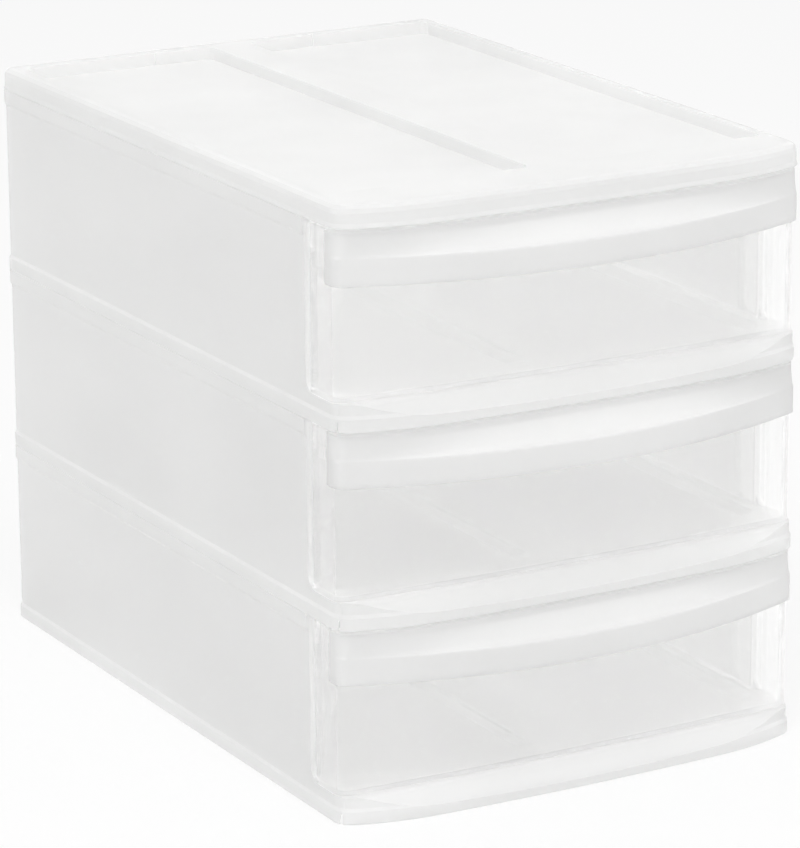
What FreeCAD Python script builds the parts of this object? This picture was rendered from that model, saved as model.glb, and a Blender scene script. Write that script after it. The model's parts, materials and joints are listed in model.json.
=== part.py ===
"""Stackable drawer box: three identical boxes with clear drawers under one loose lid.

Millimetres. X runs across the front, Y from the front to the back, Z up. The origin is the
middle of the footprint, on the surface that the stack stands on.
"""
import FreeCAD, Part
import math
import os
import Sketcher

BOX_NAMES = ["lower", "middle", "upper"]

# Driving sizes, one row each in the document's sheet.
SIZES = [
    ("box_width", 245, "outermost width, at the base band"),
    ("box_depth", 358, "from the nose of the bowed front to the back"),
    ("box_pitch", 92, "height that one box adds to the stack"),
    ("wall", 2, "casing wall"),
    ("middle_share", 0.612, "stretch of the middle arc of the bowed front, share of the width"),
    ("middle_turn", 2.6, "half the turn of that arc, degrees"),
    ("flank_turn", 17.4, "turn of the arc between it and the corner, degrees"),
    ("corner_radius", 10, "front corners in plan"),
    ("back_radius", 6, "back corners in plan"),
    ("band_step", 0.8, "how far the base band and the rim stand proud of the walls"),
    ("band_height", 7.7, "base band of a box"),
    ("band_flare", 1.6, "height over which a band runs out into the wall"),
    ("edge_break", 0.5, "broken edge along each joint of the stack"),
    ("base_height", 13, "from the joint to the floor that the drawer slides on"),
    ("sill_drop", 9, "from that floor down to the upright lip under the nose"),
    ("sill_run", 11.5, "depth of the sloped sill, back from the nose"),
    ("sill_roll", 4, "radius of the roll at the top of the sill"),
    ("sill_hollow", 16.2, "turn of the hollow curve below the roll, degrees"),
    ("lid_height", 11, "from the top joint to the lid's border"),
    ("lid_band_height", 2.5, "lip band of the lid"),
    ("lid_edge_radius", 4, "rounded top edge of the lid"),
    ("recess_depth", 6, "sunk panels of the lid and of each floor"),
    ("recess_front", 33, "from the nose to the sunk panels"),
    ("recess_back", 12.5, "border behind the sunk panels"),
    ("recess_side", 8.5, "border beside the sunk panels"),
    ("recess_corner", 4, "corners of the sunk panels"),
    ("rib_width", 22, "raised rib between the two sunk panels"),
    ("plate", 2, "thickness of lid, floor and border tops"),
    ("skirt_wall", 1.4, "foot of the skirt that sits on the rim below"),
    ("notch_offset", 45, "slot in the back wall of each sunk panel, from the middle"),
    ("notch_width", 6, "width of that slot"),
    ("notch_depth", 1.5, "depth of that slot"),
    ("web_count", 4, "cross webs under a plate"),
    ("web_thickness", 1.5, "cross webs under a plate"),
    ("web_lift", 0.8, "webs end this far above the joint"),
    ("rim_height", 8, "rim along the top of the walls"),
    ("tongue_clearance", 0.3, "round and above the tongue that keys into the skirt above"),
    ("jamb_setback", 41.4, "front ends of the side walls, back from the nose"),
    ("jamb_length", 9, "thickened front end of a side wall"),
    ("jamb_thickening", 1, "extra wall at the jamb"),
    ("cutout_radius", 7, "rounded lower corner of the cut-out in the side wall"),
    ("running_gap", 0.3, "drawer to floor, and drawer front to jamb"),
    ("side_gap", 0.5, "drawer tray to jamb, each side"),
    ("back_gap", 5, "drawer tray to the back wall"),
    ("drawer_wall", 1.8, "drawer walls and floor"),
    ("tray_height", 64, "outside height of the drawer tray"),
    ("tray_corner", 8, "back corners of the tray"),
    ("tray_edge", 1.2, "bevelled outer edge along the tray's bottom"),
    ("front_setback", 9.9, "middle of the clear front, back from the nose"),
    ("front_bow", 3.7, "how far the clear front bows forward in the middle"),
    ("front_corner", 7, "corners of the clear front"),
    ("top_gap", 1.6, "drawer front to the joint above"),
    ("grip_inset", 1, "top of the grip, back from the nose"),
    ("grip_tail", 2.5, "grip's top behind its rounded corners"),
    ("grip_reach", 11, "ridge of the grip, forward of the nose"),
    ("grip_bow", 22.2, "how far the ridge bows forward in the middle"),
    ("grip_corner", 5, "corners of the ridge in plan"),
    ("grip_lip", 3, "upright band at the top of the grip"),
    ("grip_ramp", 8.4, "height of the flared ramp"),
    ("grip_skirt", 13, "height of the skirt under the ridge"),
    ("grip_wall", 2, "shell of the grip"),
    ("ridge_bevel", 1, "height of the bevel along the ridge"),
    ("ridge_bevel_run", 0.5, "depth of that bevel"),
    ("hook_gap", 0.3, "grip hook and end walls to the drawer"),
    ("hook_wall", 1.6, "hook behind the drawer's front wall"),
    ("hook_drop", 8, "how far the hook reaches down"),
    ("cut_overrun", 5, "how far cuts run past the faces that they open"),
]

doc = FreeCAD.newDocument("stackable_drawer_box")
sheet = doc.addObject("Spreadsheet::Sheet", "sizes")
for row, (alias, number, note) in enumerate(SIZES, start=1):
    sheet.set("A%d" % row, alias)
    sheet.set("B%d" % row, str(number))
    sheet.set("C%d" % row, note)
    sheet.setAlias("B%d" % row, alias)
doc.recompute()


def value(text):
    """What an expression comes to."""
    return float(sheet.evalExpression(text))


def size(*names):
    """The sum of the named sizes, each with what it may be multiplied by."""
    return sum(value("sizes." + name) for name in names)


def less(names):
    """The text that takes the named sizes off in an expression."""
    return "".join(" - sizes.%s" % name for name in names)


# Outlines: lists of edges, each a line or an anticlockwise arc, with the rule that drives it.

def line(start, end, length=None):
    return {"ends": (start, end), "rule": length}


def arc(centre, radius, start, end, radius_rule=None):
    """An arc between two angles in degrees."""
    ends = []
    for angle in (start, end):
        turn = math.radians(angle)
        ends.append((centre[0] + radius * math.cos(turn), centre[1] + radius * math.sin(turn)))
    return {"ends": tuple(ends), "rule": radius_rule, "centre": centre, "radius": radius,
            "angles": (start, end)}


def stretched_radii(half):
    """Middle, flank and corner radius of the boxes' front, for a given half width."""
    turn, whole = "sin(sizes.middle_turn)", "sin(sizes.middle_turn + sizes.flank_turn)"
    reach = "%s * sizes.middle_share" % half
    corner = "sizes.corner_radius * (1 - %s)" % whole
    return ["%s / %s" % (reach, turn),
            "(%s - %s - %s) / (%s - %s)" % (half, corner, reach, whole, turn),
            "sizes.corner_radius"]


def circle_radii(half, bow, corner):
    """The same for a front that is one arc with a given bow."""
    radius = "((%s) ^ 2 + %s ^ 2) / (2 * %s)" % (half, bow, bow)
    return [radius, radius, corner]


def bowed_front(half_rule, nose, radius_rules, inset_names=()):
    """The front from side to side: corner, flank, middle, flank, corner, all tangent.

    Returns the edges from left to right and the place where the sides begin.
    """
    inset = size(*inset_names)
    half = value(half_rule)
    middle, flank, corner = [value(text) for text in radius_rules]
    turn_middle = math.asin(half * size("middle_share") / middle)
    flank_x = (middle - flank) * math.sin(turn_middle)
    flank_y = nose + middle - (middle - flank) * math.cos(turn_middle)
    corner_x = half - corner
    corner_y = flank_y - math.sqrt((flank - corner) ** 2 - (corner_x - flank_x) ** 2)
    turn_flank = math.atan2(corner_x - flank_x, flank_y - corner_y)
    one, two = math.degrees(turn_middle), math.degrees(turn_flank)
    down = 270
    rules = [text + less(inset_names) for text in radius_rules]
    edges = [
        arc((-corner_x, corner_y), corner - inset, 180, down - two, rules[2]),
        arc((-flank_x, flank_y), flank - inset, down - two, down - one, rules[1]),
        arc((0, nose + middle), middle - inset, down - one, down + one, rules[0]),
        arc((flank_x, flank_y), flank - inset, down + one, down + two, rules[1]),
        arc((corner_x, corner_y), corner - inset, down + two, 360, rules[2]),
    ]
    return edges, corner_y


def plain_front(half_rule, nose, radius_rules, inset_names=()):
    """A front that is one arc between its corners."""
    edges = bowed_front(half_rule, nose, radius_rules, inset_names)[0]
    start, end = edges[1]["angles"][0], edges[3]["angles"][1]
    whole = dict(edges[2], ends=(edges[1]["ends"][0], edges[3]["ends"][1]), angles=(start, end))
    return [edges[0], whole, edges[4]]


def box_front(inset_names=()):
    """The bowed front that boxes and lid share, moved in by the named sizes."""
    half = "sizes.box_width / 2"
    return bowed_front(half, -size("box_depth") / 2, stretched_radii(half), inset_names)


def back_edges(inset_names, side_start):
    """Sides and back of the plan, from the right side round to the left."""
    inset = size(*inset_names)
    half, back, radius = size("box_width") / 2, size("box_depth") / 2, size("back_radius")
    side, rear = half - inset, back - inset
    text = "sizes.back_radius" + less(inset_names)
    return [
        line((side, side_start), (side, back - radius)),
        arc((half - radius, back - radius), radius - inset, 0, 90, text),
        line((half - radius, rear), (radius - half, rear)),
        arc((radius - half, back - radius), radius - inset, 90, 180, text),
        line((-side, back - radius), (-side, side_start)),
    ]


def footprint(*inset_names):
    """The whole plan of a box, moved in by the named sizes."""
    front, side_start = box_front(inset_names)
    return front + back_edges(inset_names, side_start)


def wall_band(outer_names, inner_names, front):
    """A U in plan: both sides and the back, between two insets, open at the front."""
    outer = back_edges(outer_names, front)
    inner = back_edges(inner_names, front)
    left_outer, left_inner = outer[-1]["ends"][1], inner[-1]["ends"][1]
    right_outer, right_inner = outer[0]["ends"][0], inner[0]["ends"][0]
    return outer + [line(left_outer, left_inner)] + inner[::-1] + [line(right_inner, right_outer)]


def closed_behind(front, back):
    """A bowed front closed by straight sides and a straight back line."""
    left, right = front[0]["ends"][0], front[-1]["ends"][1]
    return front + [
        line(right, (right[0], back)),
        line((right[0], back), (left[0], back)),
        line((left[0], back), left),
    ]


def closed_around(front, back):
    """What lies outside a bowed front, back to a straight line, as one loop."""
    over = size("cut_overrun")
    left, right = front[0]["ends"][0], front[-1]["ends"][1]
    side, before = right[0] + over, min(point[1] for edge in front for point in edge["ends"])
    before -= size("grip_reach") + over
    return front + [
        line(right, (right[0], back)),
        line((right[0], back), (side, back)),
        line((side, back), (side, before)),
        line((side, before), (-side, before)),
        line((-side, before), (-side, back)),
        line((-side, back), (left[0], back)),
        line((left[0], back), left),
    ]


def rectangle(left, front, right, back, width_rule=None, depth_rule=None):
    return [
        line((left, front), (right, front), width_rule),
        line((right, front), (right, back), depth_rule),
        line((right, back), (left, back)),
        line((left, back), (left, front)),
    ]


def rounded_rectangle(left, front, right, back, radius_rule):
    radius = value(radius_rule)
    return [
        line((left + radius, front), (right - radius, front)),
        arc((right - radius, front + radius), radius, 270, 360, radius_rule),
        line((right, front + radius), (right, back - radius)),
        arc((right - radius, back - radius), radius, 0, 90, radius_rule),
        line((right - radius, back), (left + radius, back)),
        arc((left + radius, back - radius), radius, 90, 180, radius_rule),
        line((left, back - radius), (left, front + radius)),
        arc((left + radius, front + radius), radius, 180, 270, radius_rule),
    ]


# Features: each takes the body that it shapes and the rules that drive it.

def draw(body, name, loops, level=None, plane="XY_Plane"):
    """A sketch of closed loops on one of the body's own planes, lifted to a level."""
    sketch = body.newObject("Sketcher::SketchObject", name)
    base = [feature for feature in body.Origin.OriginFeatures if feature.Role == plane][0]
    sketch.AttachmentSupport = [(base, "")]
    sketch.MapMode = "FlatFace"
    if level:
        sketch.setExpression("AttachmentOffset.Base.z", level)
    for loop in loops:
        add_loop(sketch, loop)
    return sketch


def add_loop(sketch, loop):
    """The loop's edges, joined end to end, with their driving lengths and radii."""
    up = FreeCAD.Vector(0, 0, 1)
    shapes = []
    for edge in loop:
        if "centre" in edge:
            circle = Part.Circle(FreeCAD.Vector(*edge["centre"], 0), up, edge["radius"])
            angles = [math.radians(angle) for angle in edge["angles"]]
            shapes.append(Part.ArcOfCircle(circle, *angles))
        else:
            start, end = [FreeCAD.Vector(x, y, 0) for x, y in edge["ends"]]
            shapes.append(Part.LineSegment(start, end))
    indices = sketch.addGeometry(shapes, False)
    joins = []
    for place, index in enumerate(indices):
        after = (place + 1) % len(indices)
        here, there = nearest_ends(loop[place]["ends"], loop[after]["ends"])
        joins.append(Sketcher.Constraint("Coincident", index, here, indices[after], there))
    drivers, rules = [], []
    for edge, index in zip(loop, indices):
        if not edge["rule"]:
            continue
        rules.append(edge["rule"])
        if "centre" in edge:
            drivers.append(Sketcher.Constraint("Radius", index, edge["radius"]))
        else:
            (x0, y0), (x1, y1) = edge["ends"]
            drivers.append(Sketcher.Constraint("Distance", index, math.hypot(x1 - x0, y1 - y0)))
    sketch.addConstraint(joins)
    if drivers:
        for number, text in zip(sketch.addConstraint(drivers), rules):
            sketch.setExpression("Constraints[%d]" % number, text)


def nearest_ends(first, second):
    """Which end of one edge meets which end of the next: 1 is a start and 2 an end."""
    gaps = []
    for here in (0, 1):
        for there in (0, 1):
            gap = math.dist(first[here], second[there])
            gaps.append((gap, here + 1, there + 1))
    return min(gaps, key=lambda item: (round(item[0], 6), -item[1], item[2]))[1:]


def pad(body, name, sketch, length):
    feature = body.newObject("PartDesign::Pad", name)
    feature.Profile = sketch
    feature.setExpression("Length", length)
    return feature


def cut(body, name, sketch, length, upwards=True, midplane=False):
    """A pocket, which has to take material away."""
    doc.recompute()
    before = body.Shape.Volume
    feature = body.newObject("PartDesign::Pocket", name)
    feature.Profile = sketch
    feature.Reversed = upwards
    feature.Midplane = midplane
    feature.setExpression("Length", length)
    doc.recompute()
    if not body.Shape.Volume < before:
        raise RuntimeError("%s %s cuts nothing" % (body.Label, name))
    return feature


def loft(body, kind, name, first, second):
    feature = body.newObject("PartDesign::%sLoft" % kind, name)
    feature.Profile = first
    feature.Sections = [second]
    feature.Ruled = True
    return feature


def step_loft(body, name, first, first_level, second, second_level):
    """A ruled skin between two outlines at two levels."""
    low = draw(body, name + "_foot", [first], first_level)
    high = draw(body, name + "_top", [second], second_level)
    return loft(body, "Additive", name, low, high)


# Shared forms of the boxes and the lid.

def sill_profile():
    """What the sloped sill loses, seen from the side: a roll at the top, then a hollow curve."""
    top, drop, run = size("base_height"), size("sill_drop"), size("sill_run")
    roll, hollow = size("sill_roll"), math.radians(size("sill_hollow"))
    nose, over = -size("box_depth") / 2, size("cut_overrun")
    rest = roll * math.cos(hollow / 2) / math.hypot(drop - roll, run)
    turn = math.acos(-rest) - math.atan2(run, drop - roll) + hollow / 2
    bend = (nose + run - roll * math.sin(turn), top - roll * (1 - math.cos(turn)))
    chord = math.dist(bend, (nose, top - drop))
    radius = chord / (2 * math.sin(hollow / 2))
    centre = (bend[0] - radius * math.sin(turn), bend[1] + radius * math.cos(turn))
    start, level = nose + run, top - drop
    whole = math.degrees(turn)
    return [
        arc((start, top - roll), roll, 90, 90 + whole, "sizes.sill_roll"),
        arc(centre, radius, 270 + whole - size("sill_hollow"), 270 + whole),
        line((nose, level), (nose - over, level)),
        line((nose - over, level), (nose - over, top + over)),
        line((nose - over, top + over), (start, top + over)),
        line((start, top + over), (start, top)),
    ]


def panel_loops():
    """The two sunk panels in plan."""
    loops = []
    for left, front, right, back in panel_places(0):
        loops.append(rounded_rectangle(left, front, right, back, "sizes.recess_corner"))
    return loops


def panel_places(outset):
    """Left, front, right and back of the two sunk panels, or of what surrounds them."""
    half, depth = size("box_width") / 2, size("box_depth")
    inner, outer = size("rib_width") / 2 - outset, half - size("recess_side") + outset
    front = size("recess_front") - depth / 2 - outset
    back = depth / 2 - size("recess_back") + outset
    return [(-outer, front, -inner, back), (inner, front, outer, back)]


def sink_panels(body, top):
    """The two sunk panels, each with a slot in the middle of its back wall."""
    sketch = draw(body, "panels", panel_loops(), top)
    cut(body, "sunk_panels", sketch, "sizes.recess_depth", upwards=False)
    back = size("box_depth") / 2 - size("recess_back")
    middle, width = size("notch_offset"), size("notch_width")
    slots = []
    for side in (-1, 1):
        left = side * middle - width / 2
        slots.append(rectangle(left, back - size("wall"), left + width, back + size("notch_depth"),
                               "sizes.notch_width"))
    sketch = draw(body, "slots", slots, top)
    cut(body, "panel_slots", sketch, "sizes.recess_depth", upwards=False)


def hollow_under(body, height, front=None):
    """The underside: a flat hollow, deeper under the border and the rib, with cross webs.

    It ends in a straight front wall where a front is given, and follows the nose otherwise.
    """
    half, depth = size("box_width") / 2, size("box_depth")
    flat_top = "%s - sizes.recess_depth - sizes.plate" % height
    sketch = draw(body, "flat_hollow", [hollow_plan(("skirt_wall",), front)])
    cut(body, "under_panels", sketch, flat_top)
    walls = [rectangle(*place) for place in panel_places(size("plate"))]
    sketch = draw(body, "border_hollow", [hollow_plan(("band_step", "wall"), front)] + walls)
    cut(body, "under_border", sketch, "%s - sizes.plate" % height)
    count, thickness = int(size("web_count")), size("web_thickness")
    reach = half - size("skirt_wall", "tongue_clearance", "wall", "web_thickness")
    first, last = size("recess_front") - depth / 2, depth / 2 - size("recess_back")
    webs = []
    for place in range(count):
        middle = first + (last - first) * (place + 0.5) / count
        webs.append(rectangle(-reach, middle - thickness / 2, reach, middle + thickness / 2,
                              None, "sizes.web_thickness"))
    sketch = draw(body, "webs", webs, "sizes.web_lift")
    pad(body, "cross_webs", sketch, "%s - sizes.web_lift" % flat_top)


def hollow_plan(inset_names, front):
    """The plan of an underside's hollow, moved in from the footprint."""
    if front is None:
        return footprint(*inset_names)
    sides = back_edges(inset_names, front)
    return sides + [line(sides[-1]["ends"][1], sides[0]["ends"][0])]


def new_body(label, level=None):
    body = doc.addObject("PartDesign::Body", label)
    body.Label = label
    if level:
        body.setExpression("Placement.Base.z", level)
    return body


def copy_of(source, label, level):
    """The same moulding again, at another level of the stack."""
    body = new_body(label, level)
    clone = body.newObject("PartDesign::FeatureBase", label + "_moulding")
    clone.BaseFeature = source
    body.Tip = clone
    return body


def make_foot(body, height, inset_names):
    """The proud band at a joint: broken lower edge, upright face, and a run-out into the wall."""
    broken = ("edge_break",)
    step_loft(body, "edge", footprint(*broken), None, footprint(), "sizes.edge_break")
    sketch = draw(body, "band_plan", [footprint()], "sizes.edge_break")
    pad(body, "band", sketch, "%s - sizes.band_flare - sizes.edge_break" % height)
    step_loft(body, "flare", footprint(), "%s - sizes.band_flare" % height,
              footprint(*inset_names), height)


def make_casing(label):
    """One box: base with sloped sill, two side walls, back wall and rim, open above and in front."""
    body = new_body(label)
    jamb = size("jamb_setback") - size("box_depth") / 2
    step, full = ("band_step",), ()
    make_foot(body, "sizes.band_height", step)
    sketch = draw(body, "base_plan", [footprint(*step)], "sizes.band_height")
    pad(body, "base", sketch, "sizes.base_height - sizes.band_height")
    sketch = draw(body, "sill_profile", [sill_profile()], plane="YZ_Plane")
    cut(body, "sill", sketch, "sizes.box_width + sizes.cut_overrun", midplane=True)
    sink_panels(body, "sizes.base_height")

    inner = ("band_step", "wall")
    sketch = draw(body, "wall_plan", [wall_band(step, inner, jamb)], "sizes.base_height")
    pad(body, "walls", sketch, "sizes.box_pitch - sizes.base_height")
    rim_foot = "sizes.box_pitch - sizes.rim_height"
    flare = " + sizes.band_flare"
    step_loft(body, "rim_flare", wall_band(step, inner, jamb), rim_foot,
              wall_band(full, inner, jamb), rim_foot + flare)
    sketch = draw(body, "rim_plan", [wall_band(full, inner, jamb)], rim_foot + flare)
    pad(body, "rim", sketch, "sizes.rim_height - sizes.band_flare")
    keyed = ("skirt_wall", "tongue_clearance")
    sketch = draw(body, "tongue_plan", [wall_band(keyed, inner, jamb)], "sizes.box_pitch")
    pad(body, "tongue", sketch, "min(sizes.base_height; sizes.lid_height) - sizes.recess_depth"
        " - sizes.plate - sizes.tongue_clearance")
    make_jambs(body, jamb)
    hollow_under(body, "sizes.base_height", size("sill_run", "wall") - size("box_depth") / 2)
    return body


def make_jambs(body, jamb):
    """Thickened front ends of the side walls, and the rounded corners under the cut-outs."""
    inner = size("box_width") / 2 - size("band_step", "wall")
    thick, length, radius = size("jamb_thickening"), size("jamb_length"), size("cutout_radius")
    blocks = []
    for side in (-1, 1):
        near, far = sorted((side * inner, side * (inner - thick)))
        blocks.append(rectangle(near, jamb, far, jamb + length, "sizes.jamb_thickening",
                                "sizes.jamb_length"))
    sketch = draw(body, "jamb_plan", blocks, "sizes.base_height")
    pad(body, "jambs", sketch, "sizes.box_pitch - sizes.base_height")
    floor = size("base_height")
    corner = [
        arc((jamb - radius, floor + radius), radius, 270, 360, "sizes.cutout_radius"),
        line((jamb, floor + radius), (jamb, floor)),
        line((jamb, floor), (jamb - radius, floor)),
    ]
    for side, name in ((-1, "left"), (1, "right")):
        start = "%d * (sizes.box_width / 2 - sizes.band_step)" % side
        if side > 0:
            start += " - sizes.wall"
        sketch = draw(body, name + "_corner_profile", [corner], start, "YZ_Plane")
        pad(body, name + "_corner", sketch, "sizes.wall")


def make_lid():
    """The loose cover: a raised border and rib round two sunk panels, with a rounded edge."""
    body = new_body("lid", "%d * sizes.box_pitch" % len(BOX_NAMES))
    step, radius = ("edge_break",), "lid_edge_radius"
    make_foot(body, "sizes.lid_band_height", step)
    below, level = step, "sizes.lid_height - sizes.lid_edge_radius"
    sketch = draw(body, "lid_plan", [footprint(*step)], "sizes.lid_band_height")
    pad(body, "block", sketch, level + " - sizes.lid_band_height")
    for turn in (30, 60, 90):
        inset = step + ("%s * (1 - cos(%d))" % (radius, turn),)
        above = "sizes.lid_height - sizes.%s * (1 - sin(%d))" % (radius, turn)
        step_loft(body, "top_edge_%d" % turn, footprint(*below), level, footprint(*inset), above)
        below, level = inset, above
    sink_panels(body, "sizes.lid_height")
    hollow_under(body, "sizes.lid_height")
    return body


# Drawer and grip.

HALF_FRONT = "sizes.box_width / 2 - sizes.band_step"


def clear_radii():
    return circle_radii(HALF_FRONT, "sizes.front_bow", "sizes.front_corner")


def clear_front(inset_names=()):
    """The slightly bowed clear front of a drawer, in plan."""
    nose = size("front_setback") - size("box_depth") / 2
    return plain_front(HALF_FRONT, nose, clear_radii(), inset_names)


def make_drawer(label):
    """A clear tray whose front reaches across the whole box and turns back along both sides."""
    body = new_body(label)
    half, depth = size("box_width") / 2, size("box_depth") / 2
    thick, gap = size("drawer_wall"), size("hook_gap")
    bottom = "sizes.base_height + sizes.running_gap"
    tray_side = half - size("band_step", "wall", "jamb_thickening", "side_gap")
    tray_back = depth - size("band_step", "wall", "back_gap")
    return_back = size("jamb_setback") - depth - size("running_gap")

    sketch = draw(body, "front_plan", [closed_behind(clear_front(), return_back)], bottom)
    pad(body, "front_block", sketch,
        "sizes.box_pitch - sizes.top_gap - sizes.base_height - sizes.running_gap")
    front, edge = return_back - thick, size("tray_edge")
    low = tray_plan(tray_side - edge, front, tray_back - edge, "sizes.tray_corner - sizes.tray_edge")
    high = tray_plan(tray_side, front, tray_back, "sizes.tray_corner")
    step_loft(body, "tray_edge", low, bottom, high, bottom + " + sizes.tray_edge")
    sketch = draw(body, "tray_plan", [high], bottom + " + sizes.tray_edge")
    pad(body, "tray_block", sketch, "sizes.tray_height - sizes.tray_edge")

    inside = bottom + " + sizes.drawer_wall"
    room = "sizes.box_pitch + sizes.cut_overrun"
    front_room = closed_behind(clear_front(("drawer_wall",)), front)
    sketch = draw(body, "front_room_plan", [front_room], inside)
    cut(body, "front_room", sketch, room)
    tray_room = tray_plan(tray_side - thick, front - thick, tray_back - thick,
                          "sizes.tray_corner - sizes.drawer_wall")
    sketch = draw(body, "tray_room_plan", [tray_room], inside)
    cut(body, "tray_room", sketch, room)

    behind = grip_rear() + gap
    lowered = "sizes.box_pitch - sizes.top_gap - sizes.grip_wall - sizes.hook_gap"
    sketch = draw(body, "top_ledge_plan", [closed_behind(grip_front(True), behind)], lowered)
    cut(body, "top_ledge", sketch, room)
    inside_grip = grip_front(False, ("grip_wall", "hook_gap"))
    sketch = draw(body, "grip_ends_plan", [closed_around(inside_grip, behind)],
                  grip_bottom() + " - sizes.hook_gap")
    cut(body, "grip_ends", sketch, room)
    round_returns(body, return_back)
    return body


def tray_plan(side, front, back, radius_rule):
    """The tray in plan: square in front, rounded at the back."""
    radius = value(radius_rule)
    return [
        line((-side, front), (side, front)),
        line((side, front), (side, back - radius)),
        arc((side - radius, back - radius), radius, 0, 90, radius_rule),
        line((side - radius, back), (radius - side, back)),
        arc((radius - side, back - radius), radius, 90, 180, radius_rule),
        line((-side, back - radius), (-side, front)),
    ]


def round_returns(body, return_back):
    """The lower rear corners of the side returns, round the rounded corners of the cut-outs."""
    over, radius = size("cut_overrun"), size("cutout_radius")
    bottom = size("base_height", "running_gap")
    loss = [
        arc((return_back - radius, bottom + radius), radius, 270, 360, "sizes.cutout_radius"),
        line((return_back, bottom + radius), (return_back + over, bottom + radius)),
        line((return_back + over, bottom + radius), (return_back + over, bottom - over)),
        line((return_back + over, bottom - over), (return_back - radius, bottom - over)),
        line((return_back - radius, bottom - over), (return_back - radius, bottom)),
    ]
    start = "sizes.box_width / 2 - sizes.band_step - sizes.wall - sizes.running_gap"
    for name, level, forwards in (("left_return", "-(%s)" % start, False),
                                  ("right_return", start, True)):
        sketch = draw(body, name + "_profile", [loss], level, "YZ_Plane")
        cut(body, name, sketch, "sizes.wall + sizes.cut_overrun", upwards=forwards)


def grip_rear():
    """Rear edge of the grip's top plate."""
    return grip_front(False)[-1]["ends"][1][1] + size("grip_tail")


def grip_bottom():
    return ("sizes.box_pitch - sizes.top_gap - sizes.grip_lip - sizes.grip_ramp"
            " - sizes.grip_skirt")


def grip_front(at_ridge, inset_names=(), back=0):
    """The grip in plan, at its top or at its ridge, or a little behind it."""
    nose = back - size("box_depth") / 2
    if at_ridge:
        radii = circle_radii(HALF_FRONT, "sizes.grip_bow", "sizes.grip_corner")
        return bowed_front(HALF_FRONT, nose - size("grip_reach"), radii, inset_names)[0]
    return bowed_front(HALF_FRONT, nose + size("grip_inset"), stretched_radii("(%s)" % HALF_FRONT),
                       inset_names)[0]


def make_grip(label):
    """The milky grip: a flared awning over the drawer's front wall, hollow behind its skirt."""
    body = new_body(label)
    rear = grip_rear()
    top_level = "sizes.box_pitch - sizes.top_gap"
    shoulder = top_level + " - sizes.grip_lip"
    ridge = shoulder + " - sizes.grip_ramp"

    sketch = draw(body, "skirt_plan", [closed_behind(grip_front(True), rear)], grip_bottom())
    pad(body, "skirt", sketch, "sizes.grip_skirt - sizes.ridge_bevel")
    set_back = grip_front(True, (), size("ridge_bevel_run"))
    step_loft(body, "ridge_bevel", closed_behind(grip_front(True), rear),
              ridge + " - sizes.ridge_bevel", closed_behind(set_back, rear), ridge)
    step_loft(body, "ramp", closed_behind(set_back, rear), ridge,
              closed_behind(grip_front(False), rear), shoulder)
    sketch = draw(body, "lip_plan", [closed_behind(grip_front(False), rear)], shoulder)
    pad(body, "lip", sketch, "sizes.grip_lip")

    shell = ("grip_wall",)
    drop = " - sizes.grip_wall"
    open_back = rear + size("cut_overrun")
    sketch = draw(body, "finger_plan", [closed_behind(grip_front(True, shell), open_back)],
                  grip_bottom())
    cut(body, "finger_hollow", sketch, "sizes.grip_skirt - sizes.grip_wall")
    halfway = grip_front(True, shell, size("grip_reach") / 2)
    sketch = draw(body, "throat_plan", [closed_behind(halfway, open_back)], ridge + drop)
    cut(body, "throat", sketch, "sizes.grip_ramp / 2")
    sketch = draw(body, "slot_plan", [closed_behind(grip_front(False, shell), open_back)],
                  ridge + drop)
    cut(body, "wall_slot", sketch, "sizes.grip_ramp + sizes.grip_lip")
    sketch = draw(body, "hook_plan", [hook_plan()], top_level + drop + " - sizes.hook_drop")
    pad(body, "hook", sketch, "sizes.hook_drop")
    return body


def hook_plan():
    """A thin band that follows the inside of the drawer's bowed front, corner to corner."""
    end = value(HALF_FRONT) - size("front_corner")
    rule = clear_radii()[0]
    whole = value(rule)
    middle = size("front_setback") - size("box_depth") / 2 + whole
    edges = []
    for names in (("drawer_wall", "hook_gap"), ("drawer_wall", "hook_gap", "hook_wall")):
        radius = whole - size(*names)
        turn = math.degrees(math.asin(end / radius))
        edges.append(arc((0, middle), radius, 270 - turn, 270 + turn, rule + less(names)))
    near, far = [edge["ends"] for edge in edges]
    return [edges[0], line(near[1], far[1]), edges[1], line(far[0], near[0])]


parts = [make_lid()]
kinds = {"casing": make_casing, "drawer": make_drawer, "grip": make_grip}
for kind, make in kinds.items():
    first = make("%s_%s" % (BOX_NAMES[0], kind))
    parts.append(first)
    for place, name in enumerate(BOX_NAMES[1:], start=1):
        parts.append(copy_of(first, "%s_%s" % (name, kind), "%d * sizes.box_pitch" % place))
doc.recompute()

for thing in doc.Objects:
    if "Invalid" in thing.State or "Error" in thing.State:
        raise RuntimeError("%s did not build" % thing.Name)
for part in parts:
    if part.Shape.isNull() or not part.Shape.isValid() or len(part.Shape.Solids) != 1:
        raise RuntimeError("%s is not one valid solid" % part.Label)

os.makedirs("parts", exist_ok=True)
for part in parts:
    part.Shape.exportStep("parts/%s.step" % part.Label)
    box = part.Shape.BoundBox
    print("%-15s volume %9.0f  x %7.1f %7.1f  y %7.1f %7.1f  z %6.1f %6.1f"
          % (part.Label, part.Shape.Volume, box.XMin, box.XMax, box.YMin, box.YMax, box.ZMin, box.ZMax))
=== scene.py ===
"""Looks of the stackable drawer box: milky casings and lid, clear drawers, frosted grips.

Lengths are in metres, with x to the right, y to the rear and z up. The casings, the lid and the
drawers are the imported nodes; the grips are modelled here, with a hollow ramp and a soft ridge.
"""
import json
import math

import bpy
from mathutils import Matrix, Vector

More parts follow.
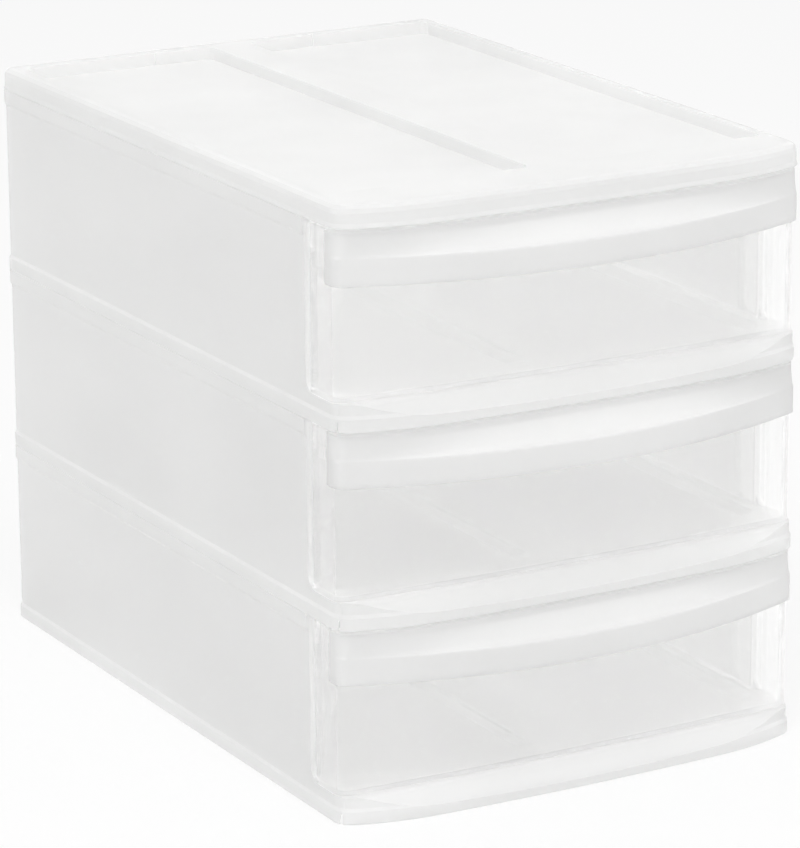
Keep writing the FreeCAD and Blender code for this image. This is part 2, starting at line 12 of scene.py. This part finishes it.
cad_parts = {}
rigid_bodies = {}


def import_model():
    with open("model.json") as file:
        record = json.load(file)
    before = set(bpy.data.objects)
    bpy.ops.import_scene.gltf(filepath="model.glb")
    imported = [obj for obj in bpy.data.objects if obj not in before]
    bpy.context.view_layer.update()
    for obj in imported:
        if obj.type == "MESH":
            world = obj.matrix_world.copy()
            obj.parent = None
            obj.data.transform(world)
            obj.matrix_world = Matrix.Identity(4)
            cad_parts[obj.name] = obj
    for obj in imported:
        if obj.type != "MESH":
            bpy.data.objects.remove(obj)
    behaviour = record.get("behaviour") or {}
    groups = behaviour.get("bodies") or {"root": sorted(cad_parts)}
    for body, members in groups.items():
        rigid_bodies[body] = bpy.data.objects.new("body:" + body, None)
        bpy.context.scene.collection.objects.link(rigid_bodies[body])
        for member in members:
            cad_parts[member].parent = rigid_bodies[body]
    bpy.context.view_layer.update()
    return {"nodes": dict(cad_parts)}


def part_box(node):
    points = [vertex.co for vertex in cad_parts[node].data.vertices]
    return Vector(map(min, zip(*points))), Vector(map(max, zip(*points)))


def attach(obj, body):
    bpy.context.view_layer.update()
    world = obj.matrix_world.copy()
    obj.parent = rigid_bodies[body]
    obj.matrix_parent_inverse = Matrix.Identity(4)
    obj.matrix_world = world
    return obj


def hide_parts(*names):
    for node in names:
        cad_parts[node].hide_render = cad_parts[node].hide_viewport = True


LEVELS = ["lower", "middle", "upper"]
BOX_PITCH = 0.092

# The lowest box's grip: half its width, and where its middle arc meets the flanks'.
HALF_FRONT = 0.1217
MIDDLE_END = 0.07448
# Its outlines in plan at the top and at the ridge: nose, then the radii of middle, flank, corner.
TOP_FRONT = (-0.178, 1.6419, 0.137, 0.010)
RIDGE_FRONT = (-0.18995, 0.31783, 0.31783, 0.005)
# Levels of its skin: upright skirt, rounded ridge, hollow ramp, upright lip under the top.
SKIRT_LEVELS = (0.066, 0.069, 0.072, 0.075, 0.0772)
RIDGE = 0.0789
RIDGE_ROLL = 0.0012
RIDGE_SHARE = 0.09
HOLLOW_SHARE = 0.55
SHOULDER = 0.0874
LIP_LEVELS = (0.0882, 0.0904)
# How much lower the inner skin lies, by the outer skin's level.
INNER_DROPS = ((0.066, 0.0), (0.072, 0.0), (0.0777, 0.0015), (0.0789, 0.0015),
               (0.0874, 0.0010), (0.0882, 0.0008), (0.0904, 0.0020))
GRIP_WALL = 0.002
EDGE_ROUNDING = 0.0004
FRONT_STEPS, CORNER_STEPS, ROLL_STEPS, RAMP_STEPS = 26, 8, 4, 12
# The band behind the drawer's front wall: half its width, its front face's arc, its levels.
HOOK_END = 0.1147
HOOK_CENTRE = 1.6106
HOOK_RADIUS = 1.7776
HOOK_LEVELS = (0.0804, 0.0887)
HOOK_WALL = 0.0016

# The plastic's slight warmth: blue as a share of red and green.
CREAM = 0.996

WHITE = (1.0, 1.0, 1.0, 1.0)

# Camera, fitted to the stack's corners in the photograph; lens and sensor in millimetres.
CAMERA_PLACE = (-1.0254, -1.8300, 0.7434)
CAMERA_AIM = (-0.0012, -0.0086, 0.1309)
CAMERA_ROLL = math.radians(0.402)
CAMERA_LENS = 202.39
CAMERA_SENSOR = 36.0

# Studio: lamps as place, edge of the square and watts, then the even light and the floor.
LAMP_AIM = (0.0, 0.0, 0.14)
KEY_LAMP = ((-0.9, -1.2, 2.6), 1.8, 33.0)
FILL_LAMP = ((2.0, -1.4, 1.0), 1.6, 4.0)
ROOM_LIGHT = 0.66
FLOOR_SIZE = 12.0
FLOOR_LEVEL = -0.0002
FLOOR_GREY = 0.66
SEEN_FLOOR_GREY = 0.97
SEEN_FLOOR_WHITE = 0.75


def set_inputs(node, **values):
    """Constants on a node's own sockets; a name's underscores stand for blanks."""
    for name, value in values.items():
        node.inputs[name.replace("_", " ")].default_value = value


def new_material(name):
    material = bpy.data.materials.new(name)
    material.use_nodes = True
    return material, material.node_tree, material.node_tree.nodes["Principled BSDF"]


def add_noise(tree, scale, detail=2.0, stretch=(1.0, 1.0, 1.0)):
    """Noise on object coordinates, with so many waves to the metre."""
    place = tree.nodes.new("ShaderNodeTexCoord")
    mapping = tree.nodes.new("ShaderNodeMapping")
    mapping.inputs["Scale"].default_value = stretch
    noise = tree.nodes.new("ShaderNodeTexNoise")
    set_inputs(noise, Scale=scale, Detail=detail)
    tree.links.new(place.outputs["Object"], mapping.inputs["Vector"])
    tree.links.new(mapping.outputs["Vector"], noise.inputs["Vector"])
    return noise.outputs["Fac"]


def add_bumps(tree, shader, layers):
    """Heights laid over each other, each with its strength and depth in metres."""
    below = None
    for height, strength, depth in layers:
        bump = tree.nodes.new("ShaderNodeBump")
        set_inputs(bump, Strength=strength, Distance=depth)
        tree.links.new(height, bump.inputs["Height"])
        if below:
            tree.links.new(below, bump.inputs["Normal"])
        below = bump.outputs["Normal"]
    tree.links.new(below, shader.inputs["Normal"])


def vary_colour(tree, shader, noise, low, high):
    """Faint cloudiness in the colour of the plastic."""
    ramp = tree.nodes.new("ShaderNodeValToRGB")
    for element, grey, position in zip(ramp.color_ramp.elements, (low, high), (0.35, 0.65)):
        element.color = (grey, grey, grey * CREAM, 1.0)
        element.position = position
    tree.links.new(noise, ramp.inputs["Fac"])
    tree.links.new(ramp.outputs["Color"], shader.inputs["Base Color"])


def vary_roughness(tree, shader, noise, low, high):
    """Duller and shinier areas of the mould."""
    spread = tree.nodes.new("ShaderNodeMapRange")
    set_inputs(spread, From_Min=0.3, From_Max=0.7, To_Min=low, To_Max=high)
    tree.links.new(noise, spread.inputs["Value"])
    tree.links.new(spread.outputs["Result"], shader.inputs["Roughness"])


def cloudy_plastic(name, greys, through, cover, painted_glow, grain):
    """Polypropylene in its natural colour: satin, cloudy, letting light through, with a painted
    glow.

    Through is the share of light that passes, cover the share that isn't seen straight through,
    the glow a painted glow the plastic gives off itself in place of light wandering in the wall,
    and grain the fine texture's waves to the metre.
    """
    material, tree, shader = new_material(name)
    cloud = add_noise(tree, 9.0)
    vary_colour(tree, shader, cloud, *greys)
    vary_roughness(tree, shader, add_noise(tree, 40.0), 0.36, 0.44)
    add_bumps(tree, shader, [(add_noise(tree, 18.0, 1.0), 0.12, 0.002),
                             (add_noise(tree, grain), 0.08, 0.0002)])
    # The emission is painted light: the walls glow by themselves, standing in for light inside
    # the boxes.
    set_inputs(shader, IOR=1.15, Transmission_Weight=through, Alpha=cover,
               Emission_Color=WHITE, Emission_Strength=painted_glow)
    return material


def clear_plastic():
    """Drawers: clear and glossy, faint ripples from the mould, and a faint painted glow of their
    own.
    """
    material, tree, shader = new_material("clear_plastic")
    ripple = add_noise(tree, 14.0, 1.0, (1.0, 1.0, 0.4))
    vary_colour(tree, shader, ripple, 0.93, 0.95)
    vary_roughness(tree, shader, ripple, 0.02, 0.06)
    add_bumps(tree, shader, [(ripple, 0.2, 0.002)])
    # The emission is a painted glow: the drawers give off a little light themselves, lifting the
    # dark insides.
    set_inputs(shader, IOR=1.25, Transmission_Weight=1.0, Alpha=0.35,
               Emission_Color=WHITE, Emission_Strength=0.09)
    return material


def finish_nodes(frame):
    """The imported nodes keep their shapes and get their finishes; the grips' one is returned."""
    # Each cloudy plastic gets a painted glow, emitted light of its own.
    milky = cloudy_plastic("milky_plastic", greys=(0.795, 0.825), through=0.45, cover=0.78,
                           painted_glow=0.135, grain=900.0)
    frosted = cloudy_plastic("frosted_plastic", greys=(0.88, 0.91), through=0.35, cover=0.88,
                             painted_glow=0.07, grain=700.0)
    finishes = {"casing": milky, "drawer": clear_plastic(), "grip": frosted, "lid": milky}
    for name, node in frame["nodes"].items():
        node.data.materials.clear()
        node.data.materials.append(finishes[name.split("_")[-1]])
    return frosted


def front_path(nose, middle, flank, corner, rear, inset):
    """The right half of a bowed front in plan, from its middle round the corner to the rear.

    Middle, flank and corner are the radii of its arcs; inset moves the whole line inwards.
    """
    turn = math.asin(MIDDLE_END / middle)
    flank_x = (middle - flank) * math.sin(turn)
    flank_y = nose + middle - (middle - flank) * math.cos(turn)
    corner_x = HALF_FRONT - corner
    corner_y = flank_y - math.sqrt((flank - corner) ** 2 - (corner_x - flank_x) ** 2)
    start = math.atan2(corner_x - flank_x, flank_y - corner_y)
    middle, flank, corner = middle - inset, flank - inset, corner - inset
    end = corner_x + corner * math.sin(start)
    path = []
    for step in range(FRONT_STEPS):
        x = end * step / FRONT_STEPS
        if x < middle * math.sin(turn):
            y = nose + inset + middle - math.sqrt(middle ** 2 - x ** 2)
        else:
            y = flank_y - math.sqrt(flank ** 2 - (x - flank_x) ** 2)
        path.append((x, y))
    for step in range(CORNER_STEPS + 1):
        angle = start + (math.pi / 2 - start) * step / CORNER_STEPS
        path.append((corner_x + corner * math.sin(angle), corner_y - corner * math.cos(angle)))
    path.append((HALF_FRONT - inset, rear))
    return path


def both_sides(half):
    """The whole path, from the left rear to the right rear."""
    left = [(-x, y) for x, y in half[:0:-1]]
    return left + half


def awning_profile():
    """Levels of the grip's skin from the bottom up, and how far out each lies, 0 to 1."""
    profile = [(z, 1.0) for z in SKIRT_LEVELS]
    for step in range(1, ROLL_STEPS + 1):
        angle = math.pi / 2 * step / ROLL_STEPS
        profile.append((RIDGE - RIDGE_ROLL * (1.0 - math.sin(angle)),
                        1.0 - RIDGE_SHARE * (1.0 - math.cos(angle))))
    for step in range(1, RAMP_STEPS + 1):
        fall = 1.0 - step / RAMP_STEPS
        hollow = HOLLOW_SHARE * (1.0 - math.sqrt(1.0 - fall ** 2)) + (1.0 - HOLLOW_SHARE) * fall
        profile.append((SHOULDER - (SHOULDER - RIDGE) * fall, (1.0 - RIDGE_SHARE) * hollow))
    return profile + [(z, 0.0) for z in LIP_LEVELS]


def below(z):
    """How much lower the inner skin lies than the outer skin's level z."""
    for (low, first), (high, second) in zip(INNER_DROPS, INNER_DROPS[1:]):
        if z <= high:
            return first + (second - first) * (z - low) / (high - low)
    return INNER_DROPS[-1][1]


def skin(name, rows):
    """A sheet from a grid primitive: one row of points for each level, all equally long."""
    bpy.ops.object.select_all(action="DESELECT")
    across, up = len(rows[0]) - 1, len(rows) - 1
    bpy.ops.mesh.primitive_grid_add(x_subdivisions=across, y_subdivisions=up, size=1.0)
    sheet = bpy.context.object
    sheet.name = sheet.data.name = name
    for vertex in sheet.data.vertices:
        column = round((vertex.co.x + 0.5) * across)
        row = round((vertex.co.y + 0.5) * up)
        vertex.co = rows[row][column]
    return sheet


def apply_modifier(piece, kind, **settings):
    modifier = piece.modifiers.new(kind.lower(), kind)
    for name, value in settings.items():
        setattr(modifier, name, value)
    bpy.context.view_layer.objects.active = piece
    bpy.ops.object.modifier_apply(modifier=modifier.name)


def join(pieces):
    """The pieces become one, under the name of the first."""
    bpy.ops.object.select_all(action="DESELECT")
    for piece in pieces:
        piece.select_set(True)
    bpy.context.view_layer.objects.active = pieces[0]
    bpy.ops.object.join()
    return pieces[0]


def close_top(piece, level):
    """A flat plate between the ends of the uppermost row."""
    bpy.context.view_layer.objects.active = piece
    bpy.ops.object.mode_set(mode="EDIT")
    bpy.ops.mesh.select_all(action="DESELECT")
    bpy.ops.object.mode_set(mode="OBJECT")
    for vertex in piece.data.vertices:
        vertex.select = abs(vertex.co.z - level) < 1e-6
    bpy.ops.object.mode_set(mode="EDIT")
    bpy.ops.mesh.edge_face_add()
    bpy.ops.object.mode_set(mode="OBJECT")


def bridge_rims(piece):
    """A band between the open rims of the outer and the inner skin."""
    bpy.context.view_layer.objects.active = piece
    bpy.ops.object.mode_set(mode="EDIT")
    bpy.ops.mesh.select_mode(type="EDGE")
    bpy.ops.mesh.select_all(action="DESELECT")
    bpy.ops.mesh.select_non_manifold(extend=False)
    bpy.ops.mesh.bridge_edge_loops()
    bpy.ops.mesh.select_all(action="SELECT")
    bpy.ops.mesh.normals_make_consistent(inside=False)
    bpy.ops.object.mode_set(mode="OBJECT")


def awning_skin(name, rear, inset):
    """The grip's outer skin, or with an inset its inner skin, closed on top."""
    top = both_sides(front_path(*TOP_FRONT, rear, inset))
    ridge = both_sides(front_path(*RIDGE_FRONT, rear, inset))
    rows = []
    for z, out in awning_profile():
        level = z - below(z) if inset else z
        rows.append([(a[0] + (b[0] - a[0]) * out, a[1] + (b[1] - a[1]) * out, level)
                     for a, b in zip(top, ridge)])
    sheet = skin(name, rows)
    close_top(sheet, rows[-1][0][2])
    return sheet


def make_hook():
    """The band behind the drawer's front wall that holds the grip."""
    arc = []
    for step in range(2 * FRONT_STEPS + 1):
        x = HOOK_END * (step / FRONT_STEPS - 1.0)
        arc.append((x, HOOK_CENTRE - math.sqrt(HOOK_RADIUS ** 2 - x ** 2)))
    hook = skin("hook", [[(x, y, z) for x, y in arc] for z in HOOK_LEVELS])
    apply_modifier(hook, "SOLIDIFY", thickness=HOOK_WALL, offset=-1.0)
    return hook


def make_pull(rear):
    """The awning grip with its hollow ramp, soft ridge and thin walls, and the hook inside it."""
    pull = join([awning_skin("pull", rear, 0.0), awning_skin("inner", rear, GRIP_WALL)])
    bridge_rims(pull)
    pull = join([pull, make_hook()])
    apply_modifier(pull, "BEVEL", width=EDGE_ROUNDING, segments=2, limit_method="ANGLE",
                   angle_limit=math.radians(50))
    bpy.ops.object.shade_smooth_by_angle(angle=math.radians(35))
    return pull


def make_pulls(frosted):
    """One pull modelled, then a copy with its own mesh on each drawer."""
    first = make_pull(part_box("lower_grip")[1][1])
    for number, level in enumerate(LEVELS):
        pull = first if number == 0 else first.copy()
        if number:
            pull.data = first.data.copy()
            pull.data.transform(Matrix.Translation((0.0, 0.0, number * BOX_PITCH)))
            bpy.context.scene.collection.objects.link(pull)
        pull.name = pull.data.name = level + "_pull"
        pull.data.materials.clear()
        pull.data.materials.append(frosted)
        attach(pull, level + "_drawer")
        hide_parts(level + "_grip")


def make_camera():
    data = bpy.data.cameras.new("camera")
    data.sensor_fit = "HORIZONTAL"
    data.sensor_width = CAMERA_SENSOR
    data.lens = CAMERA_LENS
    data.clip_start, data.clip_end = 0.05, 50.0
    camera = bpy.data.objects.new("camera", data)
    bpy.context.scene.collection.objects.link(camera)
    place, aim = Vector(CAMERA_PLACE), Vector(CAMERA_AIM)
    facing = (aim - place).to_track_quat("-Z", "Y").to_matrix().to_4x4()
    roll = Matrix.Rotation(-CAMERA_ROLL, 4, "Z")
    camera.matrix_world = Matrix.Translation(place) @ facing @ roll
    bpy.context.scene.camera = camera


def make_light(name, place, size, power):
    """A square soft lamp that looks at the middle of the stack."""
    data = bpy.data.lights.new(name, "AREA")
    data.shape = "RECTANGLE"
    data.size = data.size_y = size
    data.energy = power
    light = bpy.data.objects.new(name, data)
    bpy.context.scene.collection.objects.link(light)
    light.location = place
    aim = Vector(LAMP_AIM) - Vector(place)
    light.rotation_euler = aim.to_track_quat("-Z", "Y").to_euler()


def where_seen(tree):
    """One for the camera, for reflections and for what shows through clear plastic."""
    path = tree.nodes.new("ShaderNodeLightPath")
    seen = path.outputs["Is Camera Ray"]
    for ray in ("Is Glossy Ray", "Is Transmission Ray"):
        either = tree.nodes.new("ShaderNodeMath")
        either.operation = "MAXIMUM"
        tree.links.new(seen, either.inputs[0])
        tree.links.new(path.outputs[ray], either.inputs[1])
        seen = either.outputs["Value"]
    return seen


def make_world():
    """Even studio light, with a white backdrop where it is seen."""
    world = bpy.data.worlds.new("studio")
    bpy.context.scene.world = world
    world.use_nodes = True
    tree = world.node_tree
    light = tree.nodes["Background"]
    backdrop = tree.nodes.new("ShaderNodeBackground")
    set_inputs(light, Color=WHITE, Strength=ROOM_LIGHT)
    set_inputs(backdrop, Color=WHITE, Strength=1.0)
    mix = tree.nodes.new("ShaderNodeMixShader")
    tree.links.new(where_seen(tree), mix.inputs["Fac"])
    tree.links.new(light.outputs["Background"], mix.inputs[1])
    tree.links.new(backdrop.outputs["Background"], mix.inputs[2])
    tree.links.new(mix.outputs["Shader"], tree.nodes["World Output"].inputs["Surface"])


def make_floor():
    """A pale floor that keeps the stack's shadow and meets the backdrop without a line."""
    bpy.ops.object.select_all(action="DESELECT")
    bpy.ops.mesh.primitive_plane_add(size=FLOOR_SIZE, location=(0.0, 0.0, FLOOR_LEVEL))
    floor = bpy.context.object
    floor.name = "floor"
    material, tree, shader = new_material("floor_pale")
    set_inputs(shader, Base_Color=(FLOOR_GREY, FLOOR_GREY, FLOOR_GREY, 1.0), Roughness=0.9,
               Specular_IOR_Level=0.0)
    shaded = tree.nodes.new("ShaderNodeBsdfDiffuse")
    set_inputs(shaded, Color=(SEEN_FLOOR_GREY, SEEN_FLOOR_GREY, SEEN_FLOOR_GREY, 1.0))
    white = tree.nodes.new("ShaderNodeEmission")
    backdrop = tree.nodes.new("ShaderNodeMixShader")
    set_inputs(backdrop, Fac=SEEN_FLOOR_WHITE)
    tree.links.new(shaded.outputs["BSDF"], backdrop.inputs[1])
    tree.links.new(white.outputs["Emission"], backdrop.inputs[2])
    mix = tree.nodes.new("ShaderNodeMixShader")
    tree.links.new(where_seen(tree), mix.inputs["Fac"])
    tree.links.new(shader.outputs["BSDF"], mix.inputs[1])
    tree.links.new(backdrop.outputs["Shader"], mix.inputs[2])
    tree.links.new(mix.outputs["Shader"], tree.nodes["Material Output"].inputs["Surface"])
    floor.data.materials.append(material)


def main():
    for thing in list(bpy.data.objects):
        bpy.data.objects.remove(thing)
    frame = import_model()
    frosted = finish_nodes(frame)
    make_pulls(frosted)
    make_floor()
    make_world()
    make_camera()
    make_light("key", *KEY_LAMP)
    make_light("fill", *FILL_LAMP)
    scene = bpy.context.scene
    scene.view_settings.view_transform = "Standard"


main()
